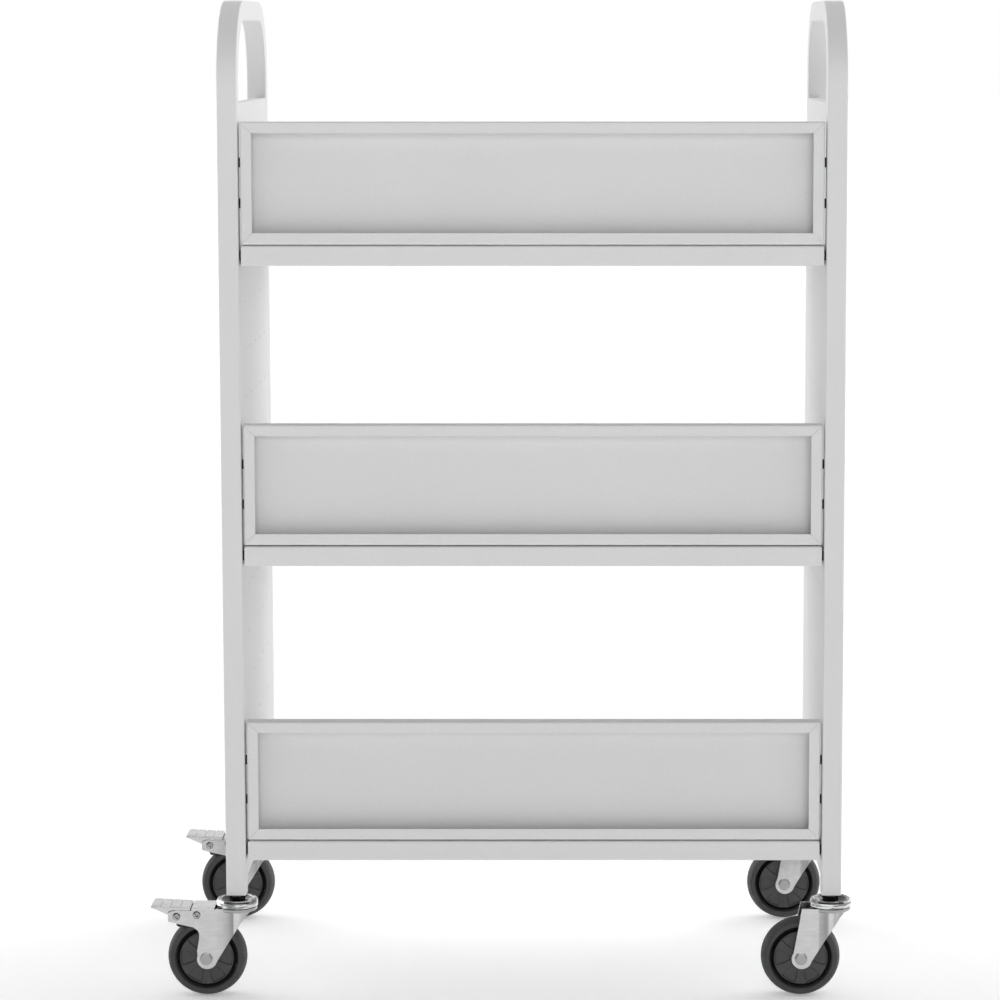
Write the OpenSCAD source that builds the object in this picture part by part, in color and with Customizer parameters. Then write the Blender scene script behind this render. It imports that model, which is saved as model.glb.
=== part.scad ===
// Single-sided book cart: two bent-tube end frames, three flat shelves, a folded back panel
// behind each shelf, perforated side panels and four swivel casters, two of them with brakes.
// +Z is up, -Y is the side with the back panels, +Y is the open side the books go in from.
// The floor is Z = 0 and the origin is the centre of the whole cart's footprint.

/* [Cart] */
// Width over the outside faces of the posts
cart_w = 775; // [700:5:900]
// Depth over the outside faces of the posts
cart_d = 400; // [380:5:460]
// Height of the push handles above the floor
cart_h = 1250; // [1240:5:1300]

/* [Tube] */
// Side of the square tube
tube_w = 25; // [24:1:28]
// Wall thickness of the square tube
tube_wall = 1.2; // [1:0.1:1.5]
// Outside corner radius of the tube section
tube_corner_r = 2; // [1.6:0.1:3]
// Outside radius of the bends at the top of each end frame
bend_outer_r = 100; // [80:5:110]

/* [Shelves] */
// Height of the lowest shelf's bottom edge above the floor
first_shelf_z = 174; // [172:1:185]
// Rise from one shelf to the next
shelf_pitch = 375; // [300:5:380]
// Height of a shelf's folded edge
shelf_edge_h = 25; // [22:1:30]
// Width of the lip folded in under a shelf's long edges
shelf_lip_w = 12; // [8:1:16]
// Thickness of the sheet steel
sheet_t = 1.2; // [1:0.1:1.5]
// Gap between the end of a shelf or back panel and the post
end_gap = 2.5; // [2:0.5:4]
// Set-back of the shelves and back panels from the posts' outer faces
face_inset = 4; // [3:0.5:6]

/* [Back panels] */
// Height of a back panel
back_panel_h = 151; // [120:1:180]
// Front-to-back depth of a back panel's folded edge
back_panel_depth = 22; // [20:1:24]
// Width of the lip round a back panel's hollow side
back_lip_w = 14; // [10:1:20]
// Gap between a shelf and the back panel above it
back_panel_gap = 1.5; // [1:0.5:3]

/* [Side panels] */
// Height of the side panels' lower edge
side_panel_z = 150; // [145:1:160]
// Height of the side panels' upper edge
side_panel_top = 1124; // [1110:1:1130]
// Width of the flange welded to each post
side_flange_w = 14; // [10:1:20]
// Diameter of the holes in the side panels
hole_d = 4.5; // [3:0.1:6]
// Spacing of the holes, both ways
hole_pitch = 60; // [50:5:60]
// Height of the lowest row of holes
first_hole_z = 214; // [200:1:230]
// Number of rows of holes
hole_rows = 15; // [5:1:15]
// Number of columns of holes
hole_columns = 5; // [3:2:5]

/* [Fasteners] */
// Diameter of a bolt's shank
bolt_d = 5.9; // [5.5:0.1:5.9]
// Diameter of a bolt's head
bolt_head_d = 11; // [10:0.5:12]
// Height of a bolt's head
bolt_head_h = 3.3; // [3:0.1:4]
// Outside diameter of a spacer
spacer_d = 12; // [10:0.5:13]
// Outside diameter of a threaded insert
insert_d = 9; // [8:0.1:10]
// Length of a threaded insert
insert_len = 13; // [10:1:16]

/* [Casters] */
// Wheel diameter
wheel_d = 100; // [96:1:100]
// Width of the tyre
tyre_w = 29; // [26:1:30]
// Radius of the crown across the tread
tread_crown_r = 25; // [20:1:40]
// Diameter of the hub inside the tyre
rim_d = 76; // [72:1:78]
// Distance from the swivel axis to the wheel's axis
caster_trail = 38; // [34:1:40]
// Height of a caster from the floor to the post
caster_h = 130; // [130:1:132]
// Outside width over the fork's arms
fork_w = 38; // [38:0.5:39]
// Thickness of the fork's steel
fork_t = 2.5; // [2:0.1:2.5]
// Outside radius of the fork's round nose
nose_r = 21.5; // [20.5:0.5:22]
// Outside radius of the upper race
race_r = 26; // [25:0.5:28]
// Radius of the circle the bearing balls run on
ball_circle_r = 18; // [17:0.5:18.5]
// Radius of a bearing ball
ball_r = 3; // [2.5:0.1:3]
// Number of balls in each race
ball_count = 12; // [8:1:16]
// Diameter of the stem
stem_d = 11.9; // [10:0.1:12]
// Width across the flats of the stem's hexagon
stem_hex_af = 17; // [16:1:19]
// Number of ribs on each side of the hub
rib_count = 6; // [5:1:8]

/* [Brakes] */
// Distance from the swivel axis to the pedal's pivot
pivot_reach = 75; // [74:1:76]
// Height of the pedal's pivot above the floor
pivot_z = 104.5; // [104:0.5:105]
// Distance from the pedal's pivot out to its tip
pedal_reach = 32; // [28:1:36]
// Width of the pedal's tread
tread_w = 39; // [34:0.5:40]
// Width over the pedal's skirts, which hang between the fork's arms
skirt_w = 32; // [30:0.5:32]
// Number of raised pads on the pedal's tread
pad_count = 4; // [2:1:6]
// Angle the pedal turns through to lock the wheel
pedal_travel = 20; // [15:1:22]

/* [Hidden] */
$fn = 64;
eps = 1;                                    // how far a cut runs past the face it opens
running_gap = 0.05;                         // clearance of a fit, on the radius
post_x = (cart_w - tube_w) / 2;             // the posts' axes
post_y = (cart_d - tube_w) / 2;
axis_r = bend_outer_r - tube_w / 2;         // radius of a bend's centre line
bend_z = cart_h - bend_outer_r;
post_inner_x = post_x - tube_w / 2;
shelf_w = 2 * (post_inner_x - end_gap);
face_y = cart_d / 2 - face_inset;           // the shelves' long edges
shelf_levels = [for (i = [0:2]) first_shelf_z + i * shelf_pitch];
back_levels = [for (z = shelf_levels) z + shelf_edge_h + back_panel_gap];
panel_bolt_y = -face_y + back_panel_depth / 2;
shelf_sites = [for (z = shelf_levels, y = [-post_y, post_y]) [y, z + shelf_edge_h / 2]];
panel_sites = [for (z = back_levels, k = [1, 2]) [panel_bolt_y, z + back_panel_h * k / 3]];
bolt_sites = concat(shelf_sites, panel_sites);
pedal_tip = pivot_reach + pedal_reach;      // reach of the pedal from the swivel axis
cart_x = (pedal_tip - race_r) / 2;          // centres the whole footprint on the origin

wheel_r = wheel_d / 2;
rim_r = rim_d / 2;
fork_in = fork_w / 2 - fork_t;              // half the gap between the arms
web_z = 111.5;                              // underside of the fork's top plate
web_top = web_z + fork_t;
web_r = 25;
cup_z = 110;                                // bottom of the cup the balls run in
ball_z = web_top + ball_r - 0.4;
dish_top = caster_h - 10.5;                 // bottom of the dish in the upper race
rim_top = caster_h - 5.5;                   // top of its rolled rim
stem_foot = 106.5;                          // underside of the stem's riveted head
washer_t = 2.4;
axle_d = 8;
sleeve_d = 12;
bush_d = 16;
boss_r = 12;
hub_face_r = 34;                            // edge of the raised part of the hub
hub_half_w = 12;
rib_h = 1.5;
nut_af = 13;
rivet_d = 6;
rivet_head_d = 10;
cover_z = 113;                              // where the brake cover rests on the arms
cover_t = 2.4;
stop_x = -49.5;                             // the second rivet, which holds the spring
stop_z = 106.6;
skirt_t = 2;
shoe_lobe_r = 4;
wheel_dir = atan2(wheel_r - pivot_z, pivot_reach - caster_trail);
shoe_reach = norm([pivot_reach - caster_trail, pivot_z - wheel_r]) - wheel_r - 0.3;

paint = "whitesmoke";
zinc = "silver";
rubber = "dimgray";
dark = "#3a3b3d";

// ---- Placing ----

// Everything fixed to the frame is drawn about the middle of the four posts.
module on_cart() {
    translate([cart_x, 0, 0]) children();
}

// side is -1 for the left, 1 for the right; x grows outwards in the child.
module on_side(side) {
    on_cart() mirror([side < 0 ? 1 : 0, 0, 0]) children();
}

// A caster's own origin is on the floor under its stem. Every wheel trails to the left.
module on_caster(side, end) {
    on_cart() translate([side * post_x, end * post_y, 0]) children();
}

module on_every_caster() {
    for (side = [-1, 1], end = [-1, 1]) on_caster(side, end) children();
}

// Turns a drawing in the XZ plane into a plate of thickness w centred on y = 0.
module across(w) {
    rotate([90, 0, 0]) linear_extrude(w, center = true) children();
}

// A rod along X from x = 0, or along Y about y = 0.
module rod_x(d, len) {
    rotate([0, 90, 0]) cylinder(d = d, h = len);
}

module rod_y(d, len) {
    rotate([90, 0, 0]) cylinder(d = d, h = len, center = true);
}

// ---- End frames ----

module rounded_square(w, r) {
    square([w - 2 * r, w], center = true);
    square([w, w - 2 * r], center = true);
    for (x = [-1, 1], y = [-1, 1]) translate([x * (w / 2 - r), y * (w / 2 - r)]) circle(r);
}

module tube_section() {
    difference() {
        rounded_square(tube_w, tube_corner_r);
        rounded_square(tube_w - 2 * tube_wall, tube_corner_r - tube_wall);
    }
}

// One tube bent into an upside-down U, standing on its two ends.
module bent_tube() {
    for (m = [0, 1]) mirror([0, m, 0]) {
        translate([0, post_y, caster_h]) linear_extrude(bend_z - caster_h) tube_section();
        translate([0, post_y - axis_r, bend_z]) rotate([90, 0, 90])
            rotate_extrude(angle = 90) translate([axis_r, 0]) tube_section();
    }
    translate([0, post_y - axis_r, bend_z + axis_r]) rotate([90, 0, 0])
        linear_extrude(2 * (post_y - axis_r)) tube_section();
}

module arch_tube(side) {
    color(paint) on_side(side) difference() {
        translate([post_x, 0, 0]) bent_tube();
        for (p = bolt_sites)
            translate([post_inner_x - eps, p.x, p.y])
                rod_x(insert_d + 2 * running_gap, tube_w / 2 + eps);
    }
}

// A perforated sheet flush with the posts' inner faces, its four edges folded outwards.
module side_panel(side) {
    w = cart_d - 2 * tube_w;
    h = side_panel_top - side_panel_z;
    color(paint) on_side(side) translate([post_inner_x, 0, side_panel_z]) difference() {
        translate([0, -w / 2, 0]) difference() {
            cube([side_flange_w, w, h]);
            translate([sheet_t, sheet_t, sheet_t])
                cube([side_flange_w, w - 2 * sheet_t, h - 2 * sheet_t]);
        }
        for (i = [0:hole_columns - 1], j = [0:hole_rows - 1])
            translate([-eps, (i - (hole_columns - 1) / 2) * hole_pitch,
                       first_hole_z - side_panel_z + j * hole_pitch])
                rod_x(hole_d, sheet_t + 2 * eps);
    }
}

// ---- Shelves and back panels ----

// A flat tray upside down: deck, four folded edges, and a lip under each long edge.
module shelf(level) {
    inner_y = face_y - sheet_t;
    color(paint) on_cart() translate([0, 0, shelf_levels[level]]) difference() {
        translate([-shelf_w / 2, -face_y, 0]) cube([shelf_w, 2 * face_y, shelf_edge_h]);
        translate([-shelf_w / 2 + sheet_t, -inner_y, sheet_t])
            cube([shelf_w - 2 * sheet_t, 2 * inner_y, shelf_edge_h - 2 * sheet_t]);
        translate([-shelf_w / 2 + sheet_t, -face_y + shelf_lip_w, -eps])
            cube([shelf_w - 2 * sheet_t, 2 * (face_y - shelf_lip_w), sheet_t + 2 * eps]);
        for (x = [-shelf_w / 2 - eps, shelf_w / 2 - sheet_t - eps], y = [-post_y, post_y])
            translate([x, y, shelf_edge_h / 2]) rod_x(bolt_d + 0.7, sheet_t + 2 * eps);
    }
}

// A folded pan standing on edge: smooth towards the books, hollow with a lip all round behind.
module back_panel(level) {
    color(paint) on_cart() translate([0, -face_y, back_levels[level]]) difference() {
        translate([-shelf_w / 2, 0, 0]) cube([shelf_w, back_panel_depth, back_panel_h]);
        translate([-shelf_w / 2 + sheet_t, sheet_t, sheet_t])
            cube([shelf_w - 2 * sheet_t, back_panel_depth - 2 * sheet_t,
                  back_panel_h - 2 * sheet_t]);
        translate([-shelf_w / 2 + back_lip_w, -eps, back_lip_w])
            cube([shelf_w - 2 * back_lip_w, sheet_t + 2 * eps, back_panel_h - 2 * back_lip_w]);
        for (x = [-shelf_w / 2 - eps, shelf_w / 2 - sheet_t - eps], k = [1, 2])
            translate([x, back_panel_depth / 2, back_panel_h * k / 3])
                rod_x(bolt_d + 0.7, sheet_t + 2 * eps);
    }
}

// ---- Fasteners ----

// Puts a child, drawn outwards from the post's inner face, at each bolt on both sides.
module at_bolts() {
    for (side = [-1, 1]) on_side(side)
        for (p = bolt_sites) translate([post_inner_x, p.x, p.y]) children();
}

// A round-headed socket screw: its head bears on the inside of the folded edge.
module bolt() {
    under_head = -end_gap - sheet_t;
    difference() {
        union() {
            translate([under_head, 0, 0]) rod_x(bolt_d, insert_len - 2 - under_head);
            translate([under_head - bolt_head_h, 0, 0]) rotate([0, 90, 0])
                cylinder(d1 = bolt_head_d * 0.6, d2 = bolt_head_d, h = bolt_head_h);
        }
        translate([under_head - bolt_head_h - eps, 0, 0]) rotate([0, 90, 0])
            cylinder(d = 4, h = 2 + eps, $fn = 6);
    }
}

module frame_bolts() {
    color(zinc) at_bolts() bolt();
}

module spacer() {
    translate([-end_gap, 0, 0]) difference() {
        rod_x(spacer_d, end_gap);
        translate([-eps, 0, 0]) rod_x(bolt_d + 0.7, end_gap + 2 * eps);
    }
}

module end_spacers() {
    color(dark) at_bolts() spacer();
}

// Threaded inserts set in the posts' walls.
module bolt_inserts() {
    color(zinc) at_bolts() difference() {
        rod_x(insert_d, insert_len);
        translate([-eps, 0, 0]) rod_x(bolt_d + 2 * running_gap, insert_len + 2 * eps);
    }
}

// ---- Caster parts fixed to the frame ----

module stem_sockets() {
    w = tube_w - 2 * tube_wall - 0.2;
    color(dark) on_every_caster() translate([0, 0, caster_h]) difference() {
        linear_extrude(40) rounded_square(w, 1);
        translate([0, 0, -eps]) cylinder(d = stem_d + 2 * running_gap, h = 40 + 2 * eps);
    }
}

// Stem, its hexagon under the post, and the riveted head that holds the fork up.
module caster_stems() {
    color(zinc) on_every_caster() {
        translate([0, 0, stem_foot]) cylinder(d = stem_d, h = caster_h + 38 - stem_foot);
        translate([0, 0, dish_top])
            cylinder(r = stem_hex_af / 2 / cos(30), h = caster_h - dish_top, $fn = 6);
        translate([0, 0, stem_foot]) cylinder(d1 = 14, d2 = 17, h = 2.5);
    }
}

// A dished cap with a rolled rim, running on the balls.
module upper_races() {
    bore_r = stem_d / 2 + running_gap;
    sheet = 2;
    color(zinc) on_every_caster() rotate_extrude() difference() {
        polygon([[bore_r, dish_top], [14, dish_top], [race_r - 6, rim_top - 0.9],
                 [race_r - 3.5, rim_top], [race_r - 1.2, rim_top - 0.9], [race_r, rim_top - 3],
                 [race_r, web_top + 1.2], [race_r - sheet, web_top + 1.2],
                 [race_r - sheet, rim_top - 3.5], [race_r - 3.5, rim_top - sheet],
                 [race_r - 5.5, rim_top - sheet - 0.9], [15.2, dish_top - sheet],
                 [bore_r, dish_top - sheet]]);
        translate([ball_circle_r, ball_z]) circle(ball_r + running_gap);
    }
}

module stem_washers() {
    color(zinc) on_every_caster() translate([0, 0, stem_foot + 2.5]) difference() {
        cylinder(d = 24, h = washer_t);
        translate([0, 0, -eps]) cylinder(d = stem_d + 2 * running_gap, h = washer_t + 2 * eps);
    }
}

// ---- Caster parts that swivel ----

// The fork seen from above, drawn in from its outer face by inset: two arms and a round nose.
module fork_plan(inset, reach) {
    half_w = fork_w / 2 - inset;
    circle(nose_r - inset);
    translate([-reach, -half_w]) square([reach, 2 * half_w]);
}

// The arms' front edges, from the top plate down to the axle.
front_edge = [[21, web_top], [21, web_z], [16, 108], [11, 103.3], [2.7, 90.7],
              [-14, 63.6], [-26, 44], [-37, 40]];

module axle_end() {
    translate([-caster_trail + 1, wheel_r - 0.5]) circle(12.8);
}

// Where the side of a plain fork reaches, in XZ.
module plain_outline() {
    polygon(concat(front_edge, [[-48.5, 51], [-37, web_top]]));
    axle_end();
}

// The same with a housing behind it for the brake.
module brake_outline() {
    polygon(concat(front_edge, [
        [-48.5, 51], [-49.5, 60], [-46.8, 76], [-46.5, 82], [-48.5, 86.5], [-54, 90.5],
        [-72, 94.5], [-85.5, 98], [-86, 109.4], [-80, 111.5], [-76, 112], [-57, 112],
        [-56, cover_z],
        [-27, cover_z], [-24, web_top]]));
    axle_end();
}

// A pressed steel fork; its child is the outline of its sides.
module fork() {
    reach = 100;
    difference() {
        union() {
            intersection() {
                translate([0, 0, wheel_r - 20]) linear_extrude(web_top - wheel_r + 20)
                    difference() {
                        fork_plan(0, reach);
                        fork_plan(fork_t, reach + eps);
                    }
                across(2 * nose_r + 2) children();
            }
            translate([0, 0, web_z]) linear_extrude(fork_t) fork_plan(0, 24);
            translate([0, 0, web_z]) cylinder(r = web_r, h = fork_t);
            rotate_extrude() polygon([
                [19.5, cup_z], [web_r - 0.8, cup_z], [web_r, cup_z + 0.8],
                [web_r, web_z + 1], [19.5, web_z + 1]]);
        }
        translate([0, 0, web_z - eps])
            cylinder(d = stem_d + 2 * running_gap, h = fork_t + 2 * eps);
        rotate_extrude() translate([ball_circle_r, ball_z]) circle(ball_r + running_gap);
        translate([-caster_trail, 0, wheel_r]) rod_y(axle_d + 0.2, fork_w + 2 * eps);
    }
}

module plain_fork() {
    color(zinc) fork() plain_outline();
}

module brake_fork() {
    color(zinc) difference() {
        fork() brake_outline();
        for (p = [[-pivot_reach, pivot_z], [stop_x, stop_z]])
            translate([p.x, 0, p.y]) rod_y(rivet_d + 2 * running_gap, fork_w + 2 * eps);
    }
}

module bearing_balls() {
    color(zinc) for (i = [0:ball_count - 1])
        rotate([0, 0, i * 360 / ball_count]) translate([ball_circle_r, 0, ball_z])
            sphere(ball_r);
}

// The head is on the -Y side.
module axle_bolt() {
    color(zinc) translate([-caster_trail, 0, wheel_r]) {
        translate([0, 3.25, 0]) rod_y(axle_d - 0.1, fork_w + 6.5);
        translate([0, -fork_w / 2, 0]) rotate([90, 0, 0]) {
            cylinder(r = nut_af / 2 / cos(30), h = 5, $fn = 6);
            cylinder(d = nut_af + 3, h = 1);
        }
    }
}

// A lock nut: hexagon with a round collar.
module axle_nut() {
    color(zinc) translate([-caster_trail, fork_w / 2, wheel_r]) rotate([-90, 0, 0])
        difference() {
            union() {
                cylinder(r = nut_af / 2 / cos(30), h = 5, $fn = 6);
                cylinder(d = nut_af - 1.5, h = 6.5);
            }
            translate([0, 0, -eps]) cylinder(d = axle_d, h = 6.5 + 2 * eps);
        }
}

module axle_sleeve() {
    color(zinc) translate([-caster_trail, 0, wheel_r]) difference() {
        rod_y(sleeve_d, 2 * fork_in);
        rod_y(axle_d + 0.1, 2 * fork_in + 2 * eps);
    }
}

// ---- Wheels ----

// Children are drawn about the wheel's own axis, which is turned to lie along Y.
module on_axle() {
    translate([-caster_trail, 0, wheel_r]) rotate([90, 0, 0]) children();
}

module tyre() {
    color(rubber) on_axle() rotate_extrude() intersection() {
        translate([wheel_r - tread_crown_r, 0]) circle(tread_crown_r);
        translate([rim_r + running_gap, -tyre_w / 2])
            square([wheel_r - rim_r, tyre_w]);
    }
}

function rib_half_w(r) =
    3.8 + 2.6 * pow(max(0, (r - 17) / 14), 2) + 1.5 * pow(max(0, (17 - r) / 5), 2);

// A rib on the hub's face, flared towards the boss and towards the edge.
module rib() {
    steps = 7;
    radii = [for (i = [0:steps]) boss_r - 1 + i * (hub_face_r - boss_r - 1) / steps];
    polygon(concat([for (i = [0:steps]) [rib_half_w(radii[i]), radii[i]]],
                   [for (i = [steps:-1:0]) [-rib_half_w(radii[i]), radii[i]]]));
}

module hub() {
    half_boss = fork_in - 0.3;
    color(dark) on_axle() difference() {
        union() {
            rotate_extrude() polygon([
                [0, -half_boss], [boss_r, -half_boss], [boss_r, -hub_half_w],
                [hub_face_r - 3, -hub_half_w], [hub_face_r - 3, -hub_half_w - rib_h],
                [hub_face_r, -hub_half_w - rib_h], [hub_face_r, -7], [rim_r, -7],
                [rim_r, 7], [hub_face_r, 7], [hub_face_r, hub_half_w + rib_h],
                [hub_face_r - 3, hub_half_w + rib_h], [hub_face_r - 3, hub_half_w],
                [boss_r, hub_half_w], [boss_r, half_boss], [0, half_boss]]);
            for (m = [0, 1]) mirror([0, 0, m])
                for (i = [0:rib_count - 1]) rotate([0, 0, i * 360 / rib_count])
                    translate([0, 0, hub_half_w - 1]) linear_extrude(rib_h + 1) rib();
        }
        cylinder(d = bush_d, h = 2 * fork_in, center = true);
    }
}

module bush() {
    color("ivory") on_axle() difference() {
        cylinder(d = bush_d - 0.04, h = 2 * (fork_in - 0.3), center = true);
        cylinder(d = sleeve_d + 2 * running_gap, h = 2 * fork_in, center = true);
    }
}

// ---- Brakes ----

// Children are drawn about the pedal's pivot, in X and Z.
module on_pivot() {
    translate([-pivot_reach, 0, pivot_z]) children();
}

// A tread with raised pads over the fork's arms, and two skirts between them onto the pivot.
module brake_pedal() {
    top = 13;                               // of the tread's plate at its tip, above the pivot
    end = pivot_reach - 57.5;               // the tread's inner end
    fall = 2.6;                             // how much lower its inner end is
    gap = 1.2;
    rise = 1.2;                             // of the pads, above the plate
    pad = (pedal_reach + end - gap) / pad_count;
    color(zinc) on_pivot() difference() {
        union() {
            across(tread_w) polygon([
                [-pedal_reach, top - 2], [-pedal_reach, top], [end, top - fall],
                [end, top - fall - 2.4], [-pedal_reach + 4, top - 3]]);
            for (i = [0:pad_count - 1]) across(tread_w - 2)
                let (x = gap - pedal_reach + i * pad, high = top + rise - i * fall / pad_count)
                    polygon([[x, high - 2.5], [x, high - 0.5], [x + 0.5, high],
                             [x + pad - gap - 0.5, high - 0.6], [x + pad - gap, high - 1.1],
                             [x + pad - gap, high - 3.2]]);
            for (s = [-1, 1]) translate([0, s * (skirt_w - skirt_t) / 2, 0])
                across(skirt_t) {
                    polygon([[-pedal_reach + 1.5, top - 1], [-pedal_reach + 1.5, top - 3],
                             [-11.5, 1.5], [-6, -2], [5, -3], [9, 2], [end - 1, top - fall - 1]]);
                    circle(7);
                }
        }
        rod_y(rivet_d + 2 * running_gap, skirt_w + 2 * eps);
    }
}

// The cam between the skirts. At rest it points past the wheel; pressed down, it meets the tread.
module brake_shoe() {
    lobe_x = shoe_reach - shoe_lobe_r;
    color(dark) on_pivot() difference() {
        across(skirt_w - 2 * skirt_t - 4) {
            circle(7.5);
            translate([-5, 0]) square([10, 8]);
            rotate(wheel_dir - pedal_travel) {
                translate([lobe_x, 0]) circle(shoe_lobe_r);
                polygon([[0, 6], [0, -6], [lobe_x, 0.3 - shoe_lobe_r],
                         [lobe_x, shoe_lobe_r - 0.3]]);
            }
        }
        rod_y(rivet_d + 2 * running_gap, skirt_w);
    }
}

// A cap on the arms between the tread and the race, held by the second rivet through its tabs.
module brake_cover() {
    left = -56;
    right = -27;
    color(zinc) difference() {
        union() {
            translate([left, -tread_w / 2, cover_z]) cube([right - left, tread_w, cover_t]);
            for (s = [-1, 1]) translate([0, s * (skirt_w - skirt_t) / 2, 0]) across(skirt_t) {
                translate([stop_x - 5.5, stop_z]) square([11, cover_z + 1 - stop_z]);
                translate([stop_x, stop_z]) circle(5.5);
            }
        }
        translate([stop_x, 0, stop_z]) rod_y(rivet_d + 2 * running_gap, skirt_w + 2 * eps);
    }
}

// The pivot rivet and the rivet that holds the spring.
module brake_rivets() {
    color(zinc) for (p = [[-pivot_reach, pivot_z], [stop_x, stop_z]])
        translate([p.x, 0, p.y]) {
            rod_y(rivet_d, fork_w);
            for (s = [0, 1]) mirror([0, s, 0]) translate([0, -fork_w / 2, 0])
                rotate([90, 0, 0]) cylinder(d1 = rivet_head_d, d2 = rivet_head_d * 0.7, h = 2);
        }
}

// A coil round the second rivet, with a leg that holds the pedal up.
module brake_spring() {
    wire_r = 0.9;
    turns = 8;
    pitch = 1.6;
    color(zinc) translate([stop_x, 0, stop_z]) {
        rotate([90, 0, 0]) rotate_extrude() intersection() {
            for (i = [0:turns]) translate([rivet_d / 2 + 0.1 + wire_r, (i - turns / 2) * pitch])
                circle(wire_r);
            translate([0, -20]) square([20, 40]);
        }
        translate([-12, 0, rivet_d / 2 + 1]) rod_x(1.6, 12);
    }
}

arch_tube(-1);  // left_arch_tube
arch_tube(1);  // right_arch_tube
side_panel(-1);  // left_side_panel
side_panel(1);  // right_side_panel
shelf(0);  // bottom_shelf
shelf(1);  // middle_shelf
shelf(2);  // top_shelf
back_panel(0);  // bottom_back_panel
back_panel(1);  // middle_back_panel
back_panel(2);  // top_back_panel
frame_bolts();
end_spacers();
bolt_inserts();
stem_sockets();
caster_stems();
upper_races();
stem_washers();

on_caster(-1, -1) brake_fork();  // rear_left_fork
on_caster(-1, -1) bearing_balls();  // rear_left_bearing_balls
on_caster(-1, -1) axle_bolt();  // rear_left_axle_bolt
on_caster(-1, -1) axle_nut();  // rear_left_axle_nut
on_caster(-1, -1) axle_sleeve();  // rear_left_axle_sleeve
on_caster(-1, -1) tyre();  // rear_left_tyre
on_caster(-1, -1) hub();  // rear_left_hub
on_caster(-1, -1) bush();  // rear_left_bush
on_caster(-1, -1) brake_pedal();  // rear_left_brake_pedal
on_caster(-1, -1) brake_shoe();  // rear_left_brake_shoe
on_caster(-1, -1) brake_rivets();  // rear_left_brake_rivets
on_caster(-1, -1) brake_spring();  // rear_left_brake_spring
on_caster(-1, -1) brake_cover();  // rear_left_brake_cover

on_caster(-1, 1) brake_fork();  // front_left_fork
on_caster(-1, 1) bearing_balls();  // front_left_bearing_balls
on_caster(-1, 1) axle_bolt();  // front_left_axle_bolt
on_caster(-1, 1) axle_nut();  // front_left_axle_nut
on_caster(-1, 1) axle_sleeve();  // front_left_axle_sleeve
on_caster(-1, 1) tyre();  // front_left_tyre
on_caster(-1, 1) hub();  // front_left_hub
on_caster(-1, 1) bush();  // front_left_bush
on_caster(-1, 1) brake_pedal();  // front_left_brake_pedal
on_caster(-1, 1) brake_shoe();  // front_left_brake_shoe
on_caster(-1, 1) brake_rivets();  // front_left_brake_rivets
on_caster(-1, 1) brake_spring();  // front_left_brake_spring
on_caster(-1, 1) brake_cover();  // front_left_brake_cover

on_caster(1, -1) plain_fork();  // rear_right_fork
on_caster(1, -1) bearing_balls();  // rear_right_bearing_balls
on_caster(1, -1) axle_bolt();  // rear_right_axle_bolt
on_caster(1, -1) axle_nut();  // rear_right_axle_nut
on_caster(1, -1) axle_sleeve();  // rear_right_axle_sleeve
on_caster(1, -1) tyre();  // rear_right_tyre
on_caster(1, -1) hub();  // rear_right_hub
on_caster(1, -1) bush();  // rear_right_bush

on_caster(1, 1) plain_fork();  // front_right_fork
on_caster(1, 1) bearing_balls();  // front_right_bearing_balls
on_caster(1, 1) axle_bolt();  // front_right_axle_bolt
on_caster(1, 1) axle_nut();  // front_right_axle_nut
on_caster(1, 1) axle_sleeve();  // front_right_axle_sleeve
on_caster(1, 1) tyre();  // front_right_tyre
on_caster(1, 1) hub();  // front_right_hub
on_caster(1, 1) bush();  // front_right_bush
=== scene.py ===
"""The looks of a single-sided book cart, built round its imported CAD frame. All sizes in metres."""

import math

import bmesh
import bpy
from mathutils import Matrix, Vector


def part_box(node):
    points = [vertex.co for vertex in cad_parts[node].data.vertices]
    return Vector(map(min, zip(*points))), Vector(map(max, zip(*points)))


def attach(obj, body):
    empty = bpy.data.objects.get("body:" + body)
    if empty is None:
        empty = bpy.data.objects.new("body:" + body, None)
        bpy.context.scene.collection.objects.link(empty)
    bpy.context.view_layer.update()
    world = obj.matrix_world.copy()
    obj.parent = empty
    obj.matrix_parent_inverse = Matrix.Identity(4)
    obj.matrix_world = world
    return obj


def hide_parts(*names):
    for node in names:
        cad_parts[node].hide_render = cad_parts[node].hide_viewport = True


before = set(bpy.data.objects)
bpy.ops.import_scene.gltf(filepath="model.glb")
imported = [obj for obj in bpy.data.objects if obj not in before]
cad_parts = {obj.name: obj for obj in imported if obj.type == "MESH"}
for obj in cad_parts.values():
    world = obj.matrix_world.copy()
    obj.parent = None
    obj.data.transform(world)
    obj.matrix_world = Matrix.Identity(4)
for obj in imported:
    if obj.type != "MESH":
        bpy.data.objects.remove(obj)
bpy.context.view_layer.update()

MM = 0.001
KEYS_PER_METRE = 2e6            # a built mesh merges its points on this fine grid
MERGE_DIST = 0.002 * MM         # CAD points closer than this are one vertex
CREASE = math.radians(38)       # edges bent further than this stay sharp
BEVEL_FROM = math.radians(32)   # edges bent further than this are rounded

LEVELS = ("bottom", "middle", "top")
SIDES = ("left", "right")
BRAKED = ("rear_left", "front_left")
PLAIN = ("rear_right", "front_right")
CASTERS = BRAKED + PLAIN

SHEET = 1.2 * MM                # thickness of the sheet and of the tube's wall
BEND_R = 2.4 * MM               # outer radius of a fold in the sheet
SEAM = 0.25 * MM                # half the gap at a mitred corner
TUBE_CORNER_R = 2 * MM
TUBE_BEND_R = 100 * MM          # outer radius of the tube's two bends
SHELF_LIP = 12 * MM
BACK_LIP = 14 * MM
HOLE_R = 2.25 * MM              # the side panels' perforation, on a square grid
HOLE_PITCH = 60 * MM
HOLE_ROWS = 15
HOLE_COLUMNS = 5
FIRST_HOLE_Z = 214 * MM

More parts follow.
